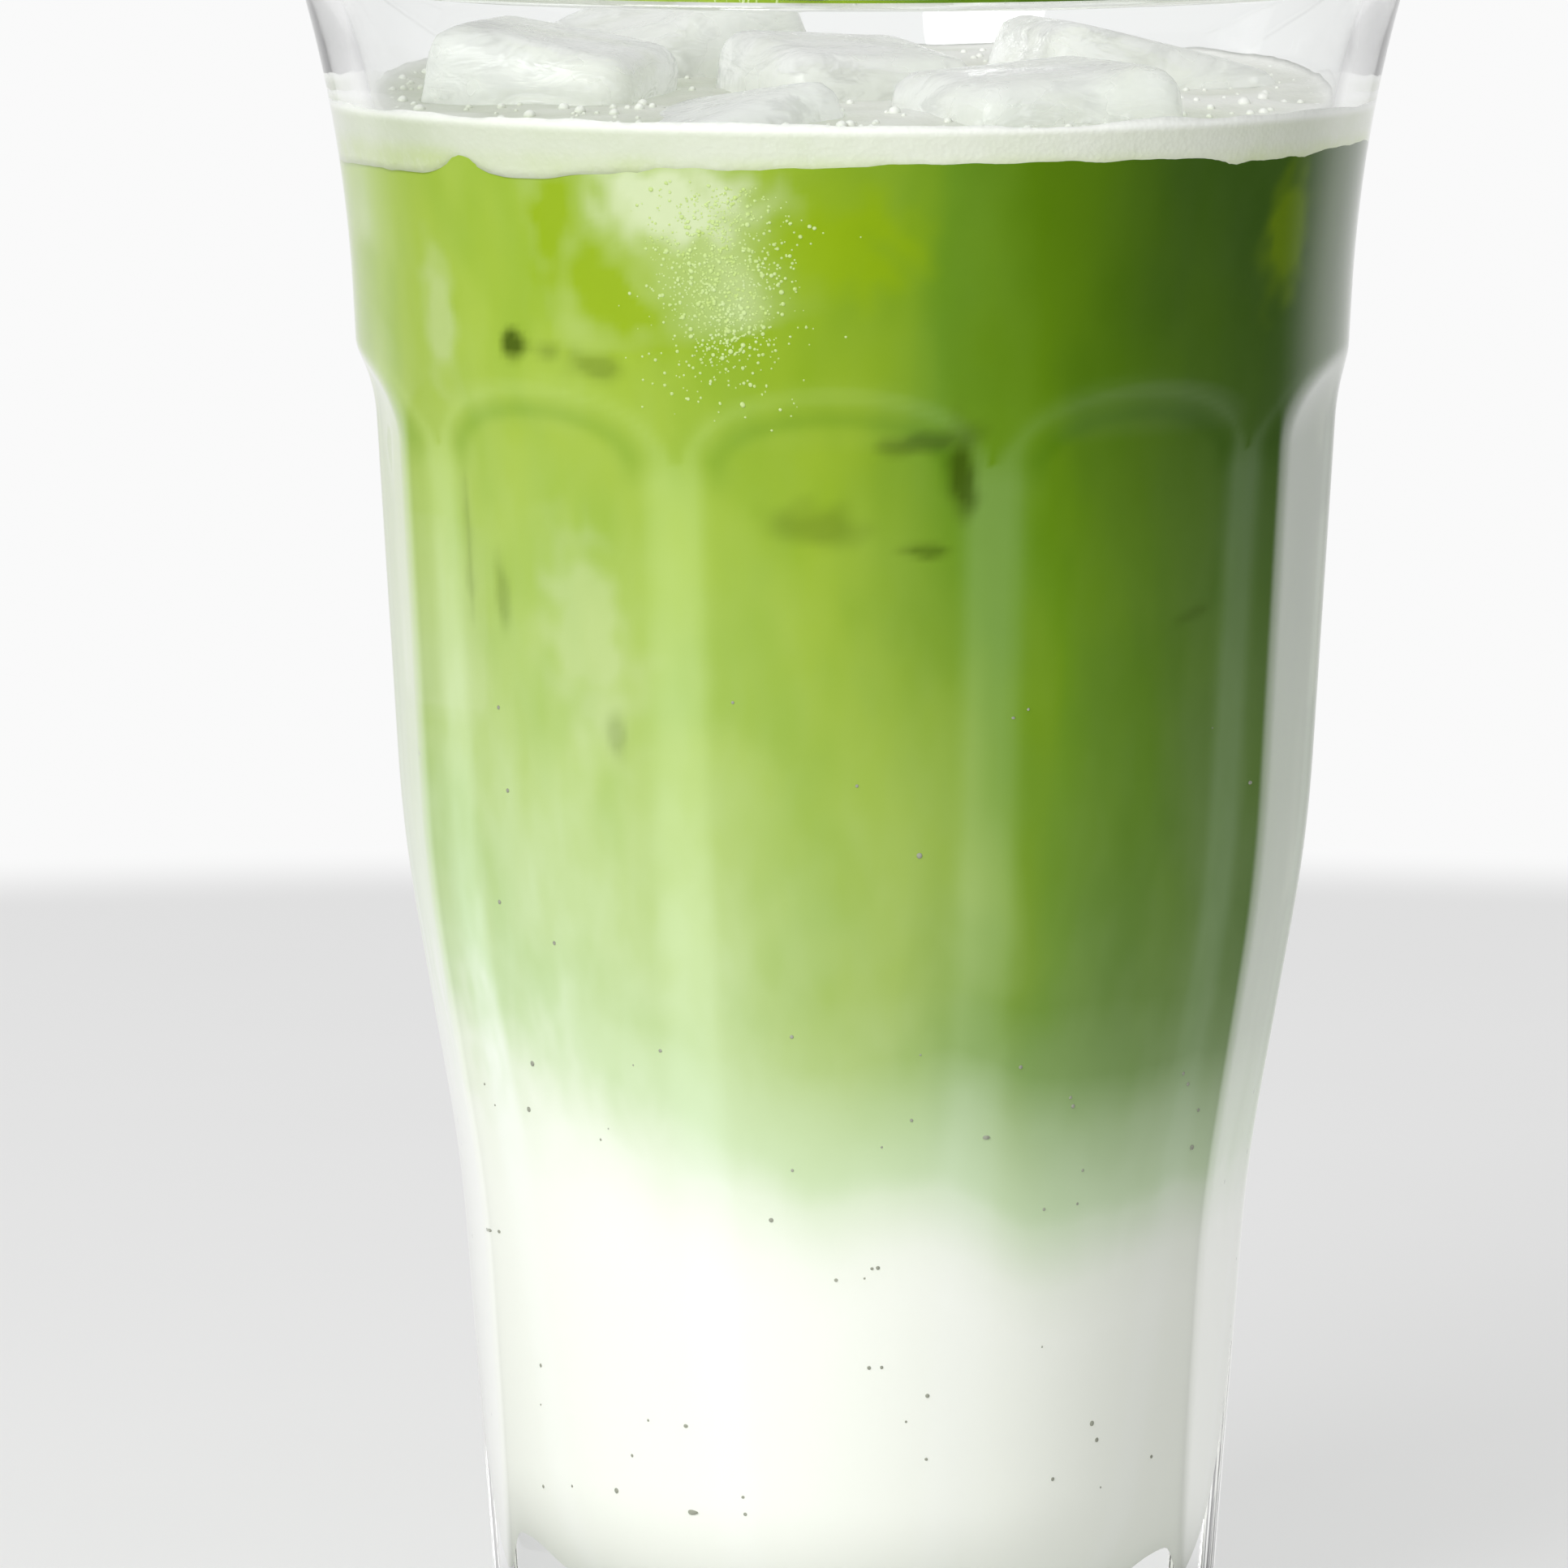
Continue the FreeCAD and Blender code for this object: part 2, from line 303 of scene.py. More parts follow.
def finish(thing, slot, material, *nodes):
    """Gives a piece its material, and says where it belongs."""
    thing.data.materials.clear()
    thing.data.materials.append(material)
    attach(thing, "root")
    if nodes:
        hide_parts(*nodes)
    return thing


# ---------------- the shapes' sizes

def stations(s):
    """Heights and distances from the axis of the outline's corners, worked down from the rim."""
    heights, reach = [GLASS_HIGH.z], [s.rim_radius]
    for drop, narrowing in ((s.flare_drop, s.flare_narrowing), (s.band_drop, s.band_narrowing),
                            (s.arch_drop, s.arch_depth), (s.upper_drop, s.upper_narrowing),
                            (s.waist_drop, s.waist_narrowing)):
        heights.append(heights[-1] - drop)
        reach.append(reach[-1] - narrowing)
    return heights + [0.0], reach + [reach[-1] - s.foot_narrowing]


def facet_path(s):
    """How far a facet's middle lies from the axis: its taper, and the curl at its top."""
    heights, reach = stations(s)
    curl = reach[3] + s.arch_rise * s.upper_narrowing / s.upper_drop, heights[3] + s.arch_rise
    return rounded_path([(reach[6], -s.foot_round, 0), (reach[6], 0.0, 0),
                         (reach[5], heights[5], s.waist_sweep), (reach[4], heights[4], s.waist_sweep),
                         (*curl, s.arch_curl),
                         (curl[0] + 1.2 * s.arch_drop, curl[1] + 1.2 * s.arch_drop, 0)], 0.0005)


def round_corners(s, foot_round=0.0, flare_sweep=0.0):
    """Corners of the round outside, as it stands at the ridges and above the arches."""
    heights, reach = stations(s)
    ridge = math.cos(math.pi / s.facets - s.ridge_half)
    return [(reach[6] / ridge, 0.0, foot_round), (reach[5] / ridge, heights[5], s.waist_sweep),
            (reach[4] / ridge, heights[4], s.waist_sweep), (reach[3] / ridge, heights[3], s.arch_sweep),
            (reach[2], heights[2], s.arch_sweep), (reach[1], heights[1], flare_sweep)]


def inner_path(s, step, bite=0.0):
    """The hollow's outline from the middle of its floor up to the rim."""
    (rim_h, flare_h, _, spring_h, knee_h, _, _), (rim, flare, _, spring, knee, _, foot) = stations(s)
    floor = MILK_LOW.z - bite
    return rounded_path([(0.0, floor, 0), (foot - s.foot_wall + bite, floor, s.floor_round + bite),
                         (knee - s.facet_wall + bite, knee_h, s.flare_sweep),
                         (spring - s.facet_wall + bite, spring_h, s.flare_sweep),
                         (flare - s.band_wall + bite, flare_h, s.flare_sweep),
                         (rim - s.lip_wall + bite, rim_h, 0)], step)


def reach_at(path, heights):
    """How far a path lies from the axis at some heights."""
    return np.interp(heights, path[:, 1], path[:, 0])


def ring(radius, height, angles):
    return np.stack([radius * np.cos(angles), radius * np.sin(angles), np.full(len(angles), height)], 1)


def inner_radius(s, heights, bite=0.0):
    path = inner_path(s, 0.0005, bite)
    return reach_at(path[path[:, 0] > 0.02], heights)


# ---------------- material helpers

class Nodes:
    """Short ways to build the nodes of one material, or of the world."""

    def __init__(self, name, world=False):
        self.owner = (bpy.data.worlds if world else bpy.data.materials).new(name)
        self.owner.use_nodes = True
        self.tree = self.owner.node_tree
        self.tree.nodes.clear()
        self.output = self.add("ShaderNodeOutputWorld" if world else "ShaderNodeOutputMaterial")
        self.place = self.add("ShaderNodeTexCoord").outputs["Generated" if world else "Object"]

    def add(self, kind, inputs=None, **settings):
        node = self.tree.nodes.new(kind)
        for key, value in settings.items():
            setattr(node, key, value)
        for key, value in (inputs or {}).items():
            self.feed(node.inputs[key], value)
        return node

    def feed(self, socket, value):
        if isinstance(value, bpy.types.NodeSocket):
            self.tree.links.new(value, socket)
        else:
            socket.default_value = value

    def math(self, operation, *values, clamp=False):
        node = self.add("ShaderNodeMath", operation=operation, use_clamp=clamp)
        for socket, value in zip(node.inputs, values):
            self.feed(socket, value)
        return node.outputs[0]

    def plus(self, a, b):
        return self.math("ADD", a, b)

    def minus(self, a, b):
        return self.math("SUBTRACT", a, b)

    def times(self, a, b, clamp=False):
        return self.math("MULTIPLY", a, b, clamp=clamp)

    def noise(self, scale, detail=3.0, roughness=0.5, vector=None, distortion=0.0):
        node = self.add("ShaderNodeTexNoise", {"Scale": scale, "Detail": detail, "Roughness": roughness,
                                               "Distortion": distortion, "Vector": vector or self.place})
        return node.outputs["Fac"]

    def stretched(self, x, y, z):
        """The object's place, stretched along its axes, for streaks."""
        return self.add("ShaderNodeMapping", {"Vector": self.place, "Scale": (x, y, z)}).outputs[0]

    def axes(self):
        return self.add("ShaderNodeSeparateXYZ", {"Vector": self.place}).outputs

    def ramp(self, factor, stops):
        node = self.add("ShaderNodeValToRGB", {"Fac": factor})
        elements = node.color_ramp.elements
        while len(elements) < len(stops):
            elements.new(0.5)
        for element, (position, value) in zip(elements, stops):
            element.position = position
            element.color = (*np.broadcast_to(value, 3), 1)
        return node.outputs["Color"]

    def mix(self, factor, a, b, blend="MIX"):
        node = self.add("ShaderNodeMix", data_type="RGBA", blend_type=blend)
        self.feed(node.inputs["Factor"], factor)
        for key, value in (("A", a), ("B", b)):
            socket = next(i for i in node.inputs if i.name == key and i.type == "RGBA")
            self.feed(socket, value if isinstance(value, bpy.types.NodeSocket) else (*value, 1))
        return next(o for o in node.outputs if o.type == "RGBA")

    def span(self, value, low, high, start=0.0, end=1.0, how="SMOOTHSTEP"):
        """A value's way from low to high, as a number from start to end."""
        node = self.add("ShaderNodeMapRange", {"Value": value, "From Min": low, "From Max": high,
                                               "To Min": start, "To Max": end}, interpolation_type=how)
        return node.outputs[0]

    def steady(self, value, low, high, start=0.0, end=1.0):
        return self.span(value, low, high, start, end, "LINEAR")

    def bump(self, height, strength, distance):
        return self.add("ShaderNodeBump", {"Height": height, "Strength": strength,
                                           "Distance": distance}).outputs["Normal"]

    def shade(self, **inputs):
        node = self.add("ShaderNodeBsdfPrincipled")
        for key, value in inputs.items():
            self.feed(node.inputs[key.replace("_", " ")], value)
        return node

    def blend(self, factor, first, second):
        """A shader that goes from the first to the second as the factor goes from 0 to 1."""
        mixed = self.add("ShaderNodeMixShader", {"Fac": factor})
        self.tree.links.new(first.outputs[0], mixed.inputs[1])
        self.tree.links.new(second.outputs[0], mixed.inputs[2])
        return mixed

    def show(self, shader):
        self.tree.links.new(shader.outputs[0], self.output.inputs["Surface"])
        return self.owner

    def seen_and_mirrored(self):
        """Whether the camera sees it, also through glass, and whether an outer surface mirrors it."""
        path = self.add("ShaderNodeLightPath").outputs
        outside = self.math("LESS_THAN", path["Transmission Depth"], 0.5)
        return (self.math("MAXIMUM", path["Is Camera Ray"], path["Is Transmission Ray"]),
                self.math("MULTIPLY", path["Is Glossy Ray"], outside))

    def lets_light_through(self, shader, tint):
        """The shader to look at, and plain see-through for the light that falls on what is behind it."""
        path = self.add("ShaderNodeLightPath").outputs
        clear = self.add("ShaderNodeBsdfTransparent", {"Color": (*tint, 1)})
        return self.show(self.blend(self.math("MAXIMUM", path["Is Shadow Ray"], path["Is Diffuse Ray"]),
                                    shader, clear))


def pressed_glass(s):
    n = Nodes("pressed_glass")
    shader = n.shade(Base_Color=(*s.tint, 1), Transmission_Weight=1.0, IOR=1.5,
                     Roughness=n.span(n.noise(240, 1.0, 0.6), 0.45, 0.75, 0.0, 0.05),
                     Normal=n.bump(n.noise(55, 1.0, 0.4), 0.12, 0.0006))
    return n.lets_light_through(shader, (0.97, 0.985, 0.975))


def drink_colour(n, d):
    """Tea painted paler on the lit left side and darker away from it, as painted light and shade, turning to
    milk below, with wisps between the two.
    """
    axes = n.axes()
    across, up = axes["X"], axes["Z"]
    wisp = n.minus(n.noise(1.0, 2.0, 0.55, n.stretched(85, 85, 30), 0.6), 0.5)
    swirl = n.minus(n.noise(1.0, 1.0, 0.5, n.stretched(34, 34, 18), 1.2), 0.5)
    fine = n.noise(1.0, 2.0, 0.6, n.stretched(240, 240, 110))
    sway = n.plus(n.times(wisp, 0.010), n.times(swirl, 0.012))
    # Painted light and shade: the tea runs from pale on the lit left side to deep on the right, a little
    # deeper higher up, with wisps of uneven mixing.
    shift = n.span(up, 0.080, 0.134, 0.0, 0.010)
    side = n.plus(n.plus(across, shift), sway)
    light = n.steady(side, 0.044, -0.030)
    deep, green, fresh, pale = (np.array(c) for c in (d.deep, d.green, d.fresh, d.pale))
    tea = n.ramp(light, [(0.03, deep), (0.12, 0.85 * deep + 0.15 * green),
                         (0.27, 0.4 * deep + 0.6 * green), (0.38, green),
                         (0.48, 0.33 * green + 0.67 * fresh), (0.55, fresh), (0.87, pale)])

    # Milkier towards the lit left side: partly milk clouds in the tea, partly a painted veil of scattered
    # light and of the glass's reflection.
    milk_and_veil_side = n.ramp(n.steady(n.plus(across, sway), -0.034, 0.034),
                       [(0.0, 1.0), (0.14, 0.81), (0.30, 0.6), (0.46, 0.31), (0.62, 0.25), (0.70, 0.08),
                        (0.84, 0.14), (1.0, 0.26)])
    low = n.steady(up, 0.130, 0.064)
    murk_low = n.math("MULTIPLY_ADD", n.times(low, low), 0.70, 0.12)
    murk = n.times(milk_and_veil_side, murk_low)
    murk = n.times(murk, n.math("MULTIPLY_ADD", fine, 0.6, 0.7), clamp=True)

    lean = n.plus(n.span(across, -0.022, -0.003, d.turn_lean, 0.0),
                  n.minus(n.span(across, 0.008, 0.014, 0.0, -d.turn_dip),
                         n.span(across, 0.018, 0.028, 0.0, -0.7 * d.turn_dip)))
    level = n.minus(n.minus(up, lean), n.times(sway, 0.45))
    turning = n.ramp(n.steady(level, 0.0692, 0.0350),
                     [(0.11, 0.0), (0.29, 0.12), (0.42, 0.42), (0.56, 0.66), (0.66, 0.82), (0.82, 0.95),
                      (0.95, 1.0)])
    murk = n.minus(1.0, n.times(n.minus(1.0, murk),
                                          n.minus(1.0, turning)))

    def mark(name, strength):
        return n.times(n.add("ShaderNodeAttribute", attribute_name=name).outputs["Fac"], strength)

    cloud = n.mix(n.span(murk, 0.75, 1.0), d.cloud, d.milk)
    mottled = n.span(n.noise(1.0, 2.0, 0.6, n.stretched(95, 95, 55)), 0.42, 0.68, 0.0, 0.5)
    mottled = n.times(mottled, n.minus(1.0, turning))
    whole = n.mix(mottled, n.mix(murk, tea, cloud), (0.76, 0.85, 0.62), "MULTIPLY")
    # Ice close behind the wall shows pale; its turned faces are dimmed as painted shade.
    whole = n.mix(mark("ice_near_and_shade", 0.8), whole, (0.68, 0.74, 0.52))
    whole = n.mix(mark("clear_tea", 0.9), whole, fresh)
    # Painted shade under the arches, and painted light along the ridges and arches, where the pressed glass
    # would gather light onto the drink.
    whole = n.mix(mark("arch_painted_shade", 0.5), whole, (0.62, 0.74, 0.50), "MULTIPLY")
    whole = n.mix(mark("ridge_painted_light", 0.06), whole, (0.72, 0.85, 0.66))
    whole = n.mix(mark("ridge_painted_light", 0.33), whole, n.mix(1.0, whole, (1.4, 1.35, 1.7), "MULTIPLY"))
    # Painted shade: dark marks at the ice's edges and where it touches the wall.
    whole = n.mix(mark("ice_painted_shade", 0.9), whole, (0.034, 0.060, 0.004))
    top = n.span(up, TEA_HIGH.z + 0.0014, TEA_HIGH.z + 0.00155)
    whole = n.mix(top, whole, (0.86, 0.87, 0.82))
    return whole, fine


def drink_material(name, d):
    n = Nodes(name)
    whole, fine = drink_colour(n, d)
    shader = n.shade(Base_Color=whole, Roughness=0.5, IOR=1.34, Specular_IOR_Level=0.0,
                     Normal=n.bump(fine, 0.04, 0.0003))
    return n.show(shader)


def froth_material(d):
    n = Nodes("froth")
    fine, coarse = (n.add("ShaderNodeTexVoronoi", {"Scale": scale, "Vector": n.place}).outputs["Distance"]
                    for scale in (2200, 800))
    height = n.plus(fine, n.times(coarse, 1.2))
    patchy = n.noise(90, 4.0, 0.6)
    axes, bottom, top = n.axes(), FROTH_LOW.z, FROTH_HIGH.z
    low = n.span(axes["Z"], bottom + 0.0022, bottom + 0.0002)
    # Painted shade: the froth's rim at the wall, below its top, is darkened on the lit left side.
    edge = n.times(n.span(axes["X"], 0.02, -0.025), n.span(axes["Z"], top + 0.0009, top - 0.0001))
    soaked = n.times(low, n.span(patchy, 0.3, 0.75, 0.15, 0.75))
    base = n.mix(n.span(patchy, 0.40, 0.75, 0.0, 0.6), d.froth, (0.68, 0.73, 0.56))
    base = n.mix(soaked, base, (0.62, 0.72, 0.30))
    base = n.mix(n.span(height, 1.1, 0.3, 0.0, 0.25), base, (0.82, 0.84, 0.77))
    # Painted light: the froth's top is painted lighter than its sides.
    base = n.mix(n.span(axes["Z"], top - 0.0004, top + 0.0004), base, (0.95, 0.955, 0.915))
    base = n.mix(edge, base, (0.80, 0.82, 0.76), "MULTIPLY")
    shader = n.shade(Base_Color=base, Roughness=0.5, IOR=1.33, Specular_IOR_Level=0.3,
                     Normal=n.bump(height, 0.18, 0.0002))
    return n.show(shader)


def ice_material(c):
    n = Nodes("ice")
    cloudy = n.span(n.noise(120, 3.0, 0.65), 0.38, 0.68)
    streaks = n.span(n.noise(1.0, 3.0, 0.7, n.stretched(150, 150, 420), 0.8), 0.42, 0.66)
    frost = n.mix(streaks, c.body, tuple(0.80 * v for v in c.body))
    pitted = n.plus(n.noise(300, 3.0, 0.65), n.times(streaks, 0.4))
    shader = n.shade(Base_Color=n.mix(cloudy, frost, (0.91, 0.92, 0.89)), IOR=1.31,
                     Transmission_Weight=0.4, Roughness=n.math("MULTIPLY_ADD", cloudy, 0.22, 0.12),
                     Normal=n.bump(pitted, 0.32, 0.0006))
    return n.lets_light_through(shader, (0.93, 0.95, 0.93))


def bead_material():
    n = Nodes("beads")
    shader = n.shade(Base_Color=n.mix(n.noise(900, 1.0), (0.62, 0.73, 0.40), (0.42, 0.56, 0.10)),
                     Roughness=0.25, IOR=1.33, Specular_IOR_Level=0.3)
    return n.show(shader)


def speck_material(d):
    n = Nodes("tea_dust")
    tone = n.mix(n.noise(1200, 2.0), d.speck, tuple(0.55 * v for v in d.speck))
    return n.show(n.shade(Base_Color=tone, Roughness=0.7))


# ---------------- building the pieces

def facet_turns(s):
    """Angles round the glass, closer together at the ridges."""
    t = np.linspace(-1, 1, 36, endpoint=False)
    half = math.pi / s.facets
    return np.concatenate([s.turn + 2 * half * k + half * t * (1.35 - 0.35 * t * t) for k in range(s.facets)])


def build_tumbler(s):
    """The glass from rings: out along the foot, up the side, over the lip and down into the hollow."""
    heights, reach = stations(s)
    half = math.pi / s.facets
    recess_edge = reach[6] - s.ring_width
    path = rounded_path([(0.0, s.recess_depth, 0),
                         (recess_edge - 2 * s.recess_depth, s.recess_depth, s.recess_depth),
                         (recess_edge, 0.0, s.recess_depth), *round_corners(s, s.foot_round, s.flare_sweep),
                         (reach[0], heights[0], s.lip_wall * 0.46),
                         (reach[0] - s.lip_wall, heights[0], s.lip_wall * 0.46),
                         (reach[1] - s.band_wall, heights[1], s.flare_sweep)], 0.0011)
    lip = int(path[:, 1].argmax())
    outside = path[[i for i in range(len(path) - 1) if i <= lip or path[i, 1] > heights[0] - 0.004]]
    # closer rows where the arches run
    arch_rows = np.linspace(heights[3] + 0.001, heights[2] + 0.002, 48)
    dense = np.stack([reach_at(path[:lip][path[:lip, 0] > 0.03], arch_rows), arch_rows], 1)
    replaced = (outside[:, 1] > arch_rows[0]) & (outside[:, 1] < arch_rows[-1])
    first = int(np.argmax(replaced))
    outside = np.concatenate([outside[:first], dense, outside[first:][~replaced[first:]]])
    inside = inner_path(s, 0.0022)[::-1]
    inside = inside[inside[:, 1] < outside[-1, 1] - 0.001]
    flat = facet_path(s)
    angles = facet_turns(s)
    from_middle = (angles - s.turn + half) % (2 * half) - half
    rings = []
    for radius, height in outside[1:]:
        if height < arch_rows[-1] and radius > 0.02:
            middle = reach_at(flat, height)
            pressed = blended_min(middle / np.cos(from_middle),
                                  middle / np.cos(2 * half - np.abs(from_middle)), s.polish * 0.7)
            softened = blended_min(np.full(len(angles), radius), pressed, s.polish)
            radius = np.where(np.abs(pressed - radius) > 0.004, np.minimum(radius, pressed), softened)
        rings.append(ring(radius, height, angles))
    rings += [ring(radius, height, angles) for radius, height in inside if radius > 1e-6]
    return revolved("tumbler", np.array(rings))


def ice_envelopes():
    """Corners and faces of the fixed model's cubes."""
    meshes = [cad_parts[name].data for name in ICE_NODES]
    return [([v.co[:] for v in mesh.vertices], [tuple(p.vertices) for p in mesh.polygons]) for mesh in meshes]


def rounded_cube(side, rounding, cells=6):
    """Corners and faces of a cube with rounded edges."""
    grid = np.linspace(-0.5, 0.5, cells + 1) * side
    index, vertices, faces = {}, [], []

    def vertex(point):
        key = tuple(np.round(point, 7))
        if key not in index:
            index[key] = len(vertices)
            vertices.append(point)
        return index[key]

    for axis in range(3):
        for sign in (-1, 1):
            for i in range(cells):
                for j in range(cells):
                    quad = []
                    for a, b in ((i, j), (i + 1, j), (i + 1, j + 1), (i, j + 1)):
                        point = np.zeros(3)
                        point[[axis, (axis + 1) % 3, (axis + 2) % 3]] = sign * side / 2, grid[a], grid[b]
                        quad.append(vertex(point))
                    faces.append(tuple(quad if sign > 0 else quad[::-1]))
    points = np.array(vertices)
    core = np.clip(points, rounding - side / 2, side / 2 - rounding)
    out = points - core
    return core + out / np.linalg.norm(out, axis=1)[:, None] * rounding, faces


def turned(yaw, pitch, roll):
    cy, sy, cp, sp, cr, sr = (f(a) for a in (yaw, pitch, roll) for f in (math.cos, math.sin))
    return (np.array([[cy, -sy, 0], [sy, cy, 0], [0, 0, 1]]) @ np.array([[cp, 0, sp], [0, 1, 0], [-sp, 0, cp]])
            @ np.array([[1, 0, 0], [0, cr, -sr], [0, sr, cr]]))


def sunk_places(c, d, s):
    """Middles and turns of the sunk cubes: in loose tiers below the surface, near the wall."""
    rng = np.random.default_rng(d.seed)
    places = []
    for k in range(c.sunk):
        tier, place = divmod(k, 4)
        height = TEA_HIGH.z - (0.020 + 0.020 * tier)
        reach = float(inner_radius(s, height)) - c.side * 0.62
        angle = math.radians(-8 + 62 * place + 23 * (tier % 2)) + rng.normal(0, 0.10)
        centre = np.array([reach * math.cos(angle), reach * math.sin(angle), height + rng.normal(0, 0.002)])
        places.append((centre, turned(angle + rng.normal(0, 0.35), rng.normal(0, 0.3), rng.normal(0, 0.3))))
    return places


# Painted shade: dark marks where cubes touch the wall at the front, along their edges and in the gaps between
# them: azimuth from the front and height, half width and half height, lean in degrees, and depth of the mark
ICE_SHADE_MARKS = (
    (-44.5, 119.2, 1.1, 1.3, 20, 0.95), (-39.0, 118.6, 1.2, 0.8, 0, 0.35), (-33.0, 117.6, 2.4, 1.2, -8, 0.40),
    (13.6, 109.4, 1.2, 3.9, 4, 0.85), (9.4, 112.0, 3.4, 1.0, 6, 0.60), (9.0, 102.6, 2.0, 0.55, 0, 0.60),
    (-5.3, 104.9, 3.6, 1.5, -5, 0.35), (-31.0, 86.5, 1.0, 1.7, 10, 0.30), (-57.5, 101.0, 0.5, 5.5, 0, 0.25),
    (-51.0, 97.5, 0.8, 3.0, 4, 0.30), (49.0, 96.0, 2.0, 0.6, 15, 0.30),
)

# Gaps between cubes through which the clear tea shows, in the same order
CLEAR = ((-37.0, 129.5, 2.2, 5.0, -12, 0.9), (-30.0, 124.0, 5.2, 3.0, -38, 0.9),
         (-2.0, 128.0, 6.0, 4.0, 0, 0.6), (60.0, 128.0, 3.0, 5.0, 0, 0.4))

# Pale ice and milk close behind the wall, in the same order
PALE = ((-21.0, 131.6, 6.5, 3.6, 0, 0.95), (-36.0, 94.0, 4.2, 8.0, 14, 0.30),
        (-58.0, 121.0, 2.0, 5.0, 0, 0.35))


def ice_marks(places, out, at_wall, c, d, s):
    """Where ice lies near the wall or leaves clear tea between, and the painted shade on its turned faces, at
    its edges and where it touches the wall.
    """
    cubes = ice_envelopes()
    for centre, turn in sunk_places(c, d, s):
        points, faces = rounded_cube(c.side * 0.94, c.side * 0.14)
        cubes.append((points @ turn.T + centre, faces))
    tree = BVHTree.FromPolygons(*joined(cubes))
    near, edge, clear = np.zeros((3, len(places)))
    for i in np.flatnonzero(at_wall):
        direction = Vector((-places[i, 0] / out[i], -places[i, 1] / out[i], 0.0))
        hit, normal, _, depth = tree.ray_cast(Vector(places[i]) - direction * 0.0005, direction, 0.014)
        if hit is None:
            continue
        # Ice shows paler the less tea lies before it; the dimming of faces turned from the wall and the dark
        # rims on them are painted shade.
        shown = math.exp(-max(depth - 0.0005, 0.0) / c.clearness)
        facing = abs(normal.dot(direction))
        near[i] = shown * (0.35 + 0.65 * facing)
        edge[i] = 0.2 * shown * max(0.0, 1.0 - facing * 1.5) ** 2

    azimuth = np.degrees(np.arctan2(places[:, 0], -places[:, 1]))
    near *= 0.7 - 0.7 * np.clip((azimuth + 6) / 12, 0, 1) * np.clip((115 - azimuth) / 35, 0, 1)
    ragged = np.array([noise.noise(Vector(p * 480)) for p in places])
    for values, patches in ((edge, ICE_SHADE_MARKS), (clear, CLEAR), (near, PALE)):
        for angle, height, half_wide, half_high, lean, depth in patches:
            x = np.radians(azimuth - angle) * out / MM
            z = places[:, 2] / MM - height
            turn = math.radians(lean)
            x, z = x * math.cos(turn) + z * math.sin(turn), z * math.cos(turn) - x * math.sin(turn)
            reach = np.sqrt((x / half_wide) ** 2 + (z / half_high) ** 2) + 0.5 * ragged
            np.maximum(values, depth * np.clip(1.6 - reach, 0, 1) ** 1.5 * at_wall, out=values)
    return {"ice_near_and_shade": near, "ice_painted_shade": edge, "clear_tea": clear}


def glass_marks(places, out, at_wall, s):
    """Where the pressed edges gather the light, and the shade under the arches."""
    half = math.pi / s.facets
    flat, whole = facet_path(s), rounded_path(round_corners(s), 0.0005)

    def pressed(turned_by, raised_by):
        """How deep the facet lies under the round outside."""
        angle = np.arctan2(places[:, 1], places[:, 0]) + turned_by
        off = (angle - s.turn + half) % (2 * half) - half
        z = places[:, 2] + raised_by
        return reach_at(whole, z) - reach_at(flat, z) / np.cos(off)

    here = pressed(0, 0)
    tilt = np.hypot((pressed(0.01, 0) - pressed(-0.01, 0)) / (0.02 * out),
                    (pressed(0, 0.0003) - pressed(0, -0.0003)) / 0.0006)
    distance = here / np.maximum(tilt, 0.03)
    at_arch = np.clip((places[:, 2] - 0.108) / 0.004, 0, 1)
    line = np.exp(-(distance / (0.0014 - 0.0008 * at_arch)) ** 2)
    line = np.where((here < 0) & (at_arch < 0.5), 1.0, line) * at_wall
    line *= np.clip((places[:, 2] - 0.040) / 0.03, 0.1, 1) * (1 - 0.6 * at_arch)
    arch = np.clip((places[:, 2] - 0.107) / 0.003, 0, 1) * (here > 0)
    under = np.exp(-((distance - 0.0026) / 0.0016) ** 2) * arch * at_wall
    return {"ridge_painted_light": line, "arch_painted_shade": under}


def mark_drink(thing, c, s, d):
    """Writes the marks of the ice and of the glass on a layer, for its material to colour."""
    places = np.array([v.co[:] for v in thing.data.vertices])
    out = np.maximum(np.hypot(places[:, 0], places[:, 1]), 1e-9)
    at_wall = out > 0.02
    for marks in (ice_marks(places, out, at_wall, c, d, s), glass_marks(places, out, at_wall, s)):
        for name, values in marks.items():
            attribute = thing.data.attributes.new(name, "FLOAT", "POINT")
            attribute.data.foreach_set("value", values.astype(np.float32))


def build_layer(name, s, d, low, high, columns, step):
    """A layer of the drink that reaches just into the wall, with flat ends."""
    path = inner_path(s, step, d.bite)
    floor = path[0, 1]
    wall = path[(path[:, 0] > 1e-6) & (path[:, 1] < high - 1e-5) & (path[:, 1] > low + 1e-5)]
    top = float(inner_radius(s, high, d.bite))
    on_floor = low <= floor + 1e-6
    if on_floor:
        low, bottom = floor, path[path[:, 1] <= floor + 1e-9][-1, 0]
    else:
        bottom = float(inner_radius(s, low, d.bite))
    rows = [(radius, low) for radius in np.linspace(0.004, bottom, 6)]
    start = len(rows) - 1
    rows += [*wall, (top, high)]
    end = len(rows) - 1
    rows += [(radius, high) for radius in np.linspace(top, 0.004, 8)[1:]]
    angles = np.linspace(0, 2 * math.pi, columns, endpoint=False)
    rings = np.array([ring(radius, height, angles) for radius, height in rows])
    return revolved(name, rings, [end] if on_floor else [end, start])


